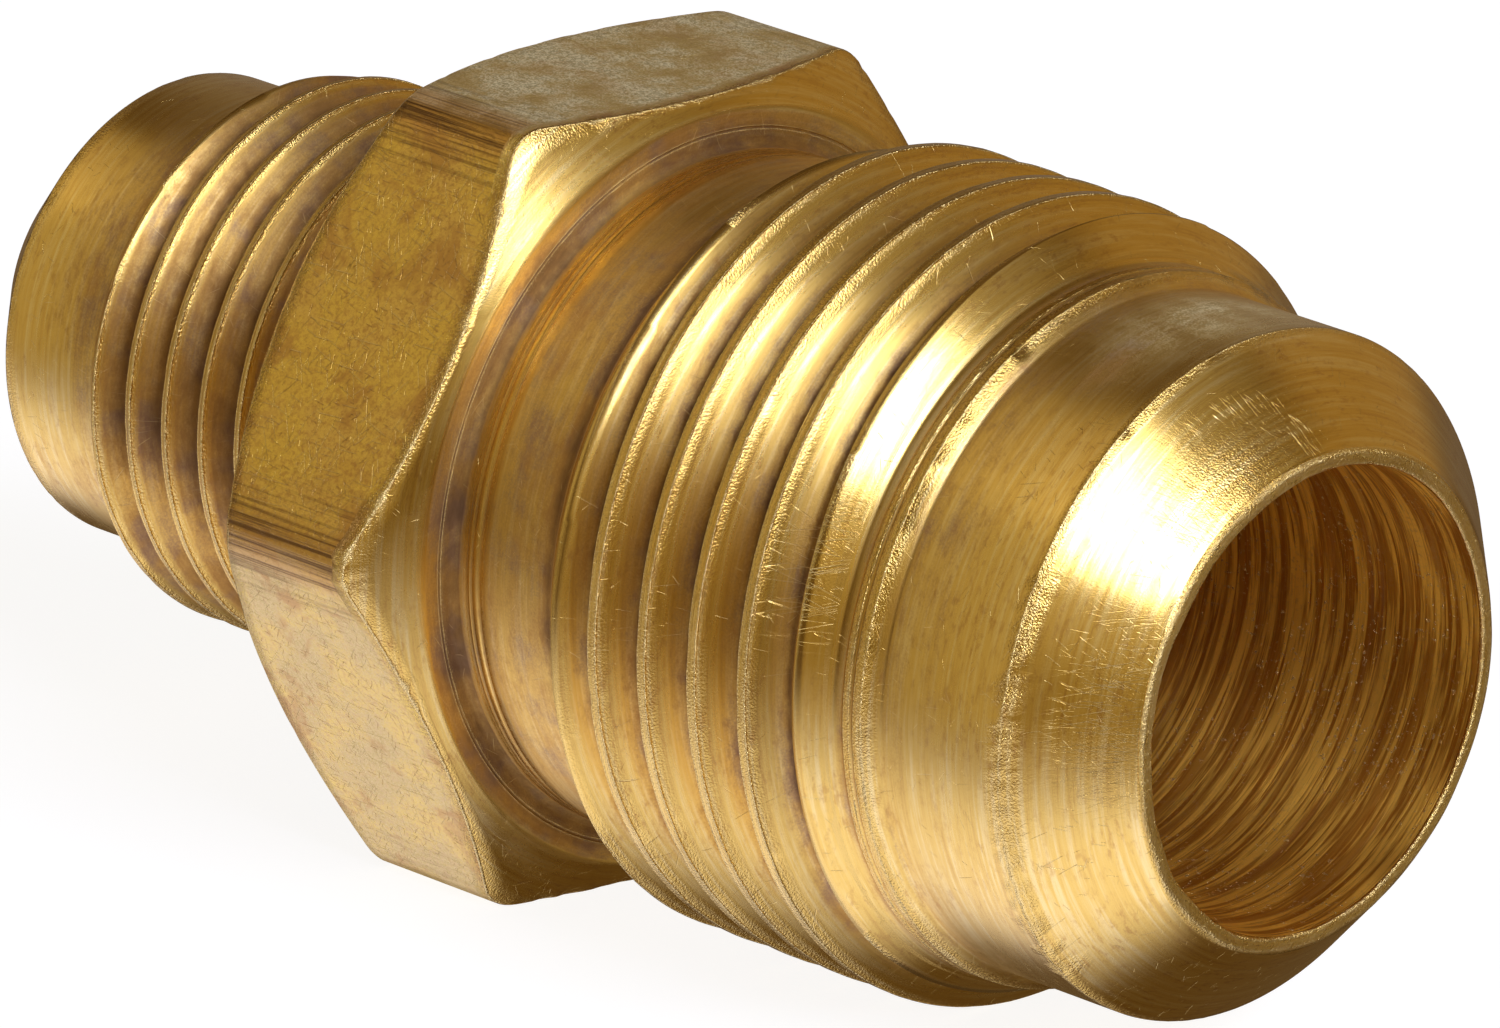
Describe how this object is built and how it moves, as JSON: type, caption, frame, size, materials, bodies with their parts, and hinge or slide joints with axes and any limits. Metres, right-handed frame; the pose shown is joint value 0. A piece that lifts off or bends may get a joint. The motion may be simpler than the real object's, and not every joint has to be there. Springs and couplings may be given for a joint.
{
  "type": "flare reducing union",
  "caption": "Straight reducing union for flared tube: a larger and a smaller male 45-degree flare end, each with a fine thread, on either side of a wrench hexagon.",
  "frame": {"origin": "on the turning axis, at the middle of the wrench flats", "axes": "+X along the turning axis, out of the large end; +Z is the outward normal of one wrench flat; +Y points at a hexagon corner"},
  "size_m": [0.0454, 0.0248, 0.022],
  "materials": {
    "brass": "machined, lightly tarnished"
  },
  "bodies": {
    "root": {"union_body": "brass"}
  },
  "joints": []
}
